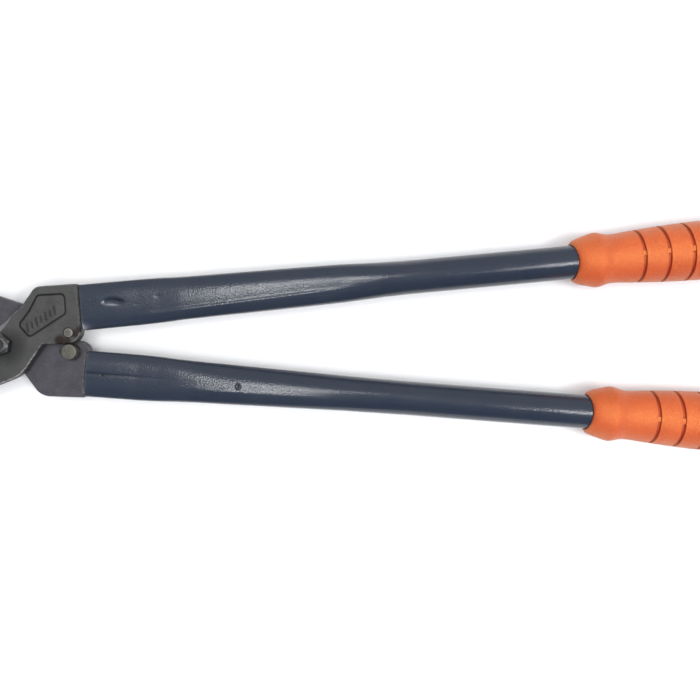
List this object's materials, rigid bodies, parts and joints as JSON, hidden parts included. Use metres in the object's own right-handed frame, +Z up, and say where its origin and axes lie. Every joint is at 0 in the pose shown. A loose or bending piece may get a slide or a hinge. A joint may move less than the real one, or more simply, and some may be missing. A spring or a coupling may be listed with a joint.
{
  "type": "cable cutter",
  "caption": "Long-handled cable cutter: two hooked shear blades on one pivot bolt, steel tube handles flattened over the blade tangs, ribbed soft grips, stop pins that limit closing.",
  "frame": {"origin": "centre of the whole tool's footprint, on the surface it lies on", "axes": "+X along the tool from the jaws to the grips, +Y towards the handle of the front blade, +Z up, along the pivot bolt towards its head"},
  "size_m": [0.6096, 0.1662, 0.041],
  "materials": {
    "blade_steel": "dark oxide on forged alloy steel, ground cutting bevels, light rust spots",
    "pin_steel": "dark plated pin with a bright worn rim",
    "fastener_steel": "dark plated fastener",
    "tube_paint": "slate blue-grey powder coat with a fine texture",
    "grip_vinyl": "orange soft vinyl, matte with a fine grain",
    "lock_nylon": "nylon locking ring"
  },
  "bodies": {
    "upper_side": {"front_blade": "blade_steel", "front_stop_pin": "pin_steel", "upper_handle_tube": "tube_paint", "upper_grip": "grip_vinyl", "pivot_bolt": "fastener_steel", "pivot_bushing": "fastener_steel", "nut_washer": "fastener_steel", "lock_nut": "fastener_steel", "nut_lock_ring": "lock_nylon"},
    "lower_side": {"rear_blade": "blade_steel", "rear_stop_pin": "pin_steel", "lower_handle_tube": "tube_paint", "lower_grip": "grip_vinyl"}
  },
  "joints": [
    {"name": "jaw_pivot", "type": "hinge", "parent": "upper_side", "child": "lower_side", "pos_m": [-0.238, -0.0066, 0.0205], "axis": [0, 0, -1], "range_deg": [0, 112]}
  ]
}
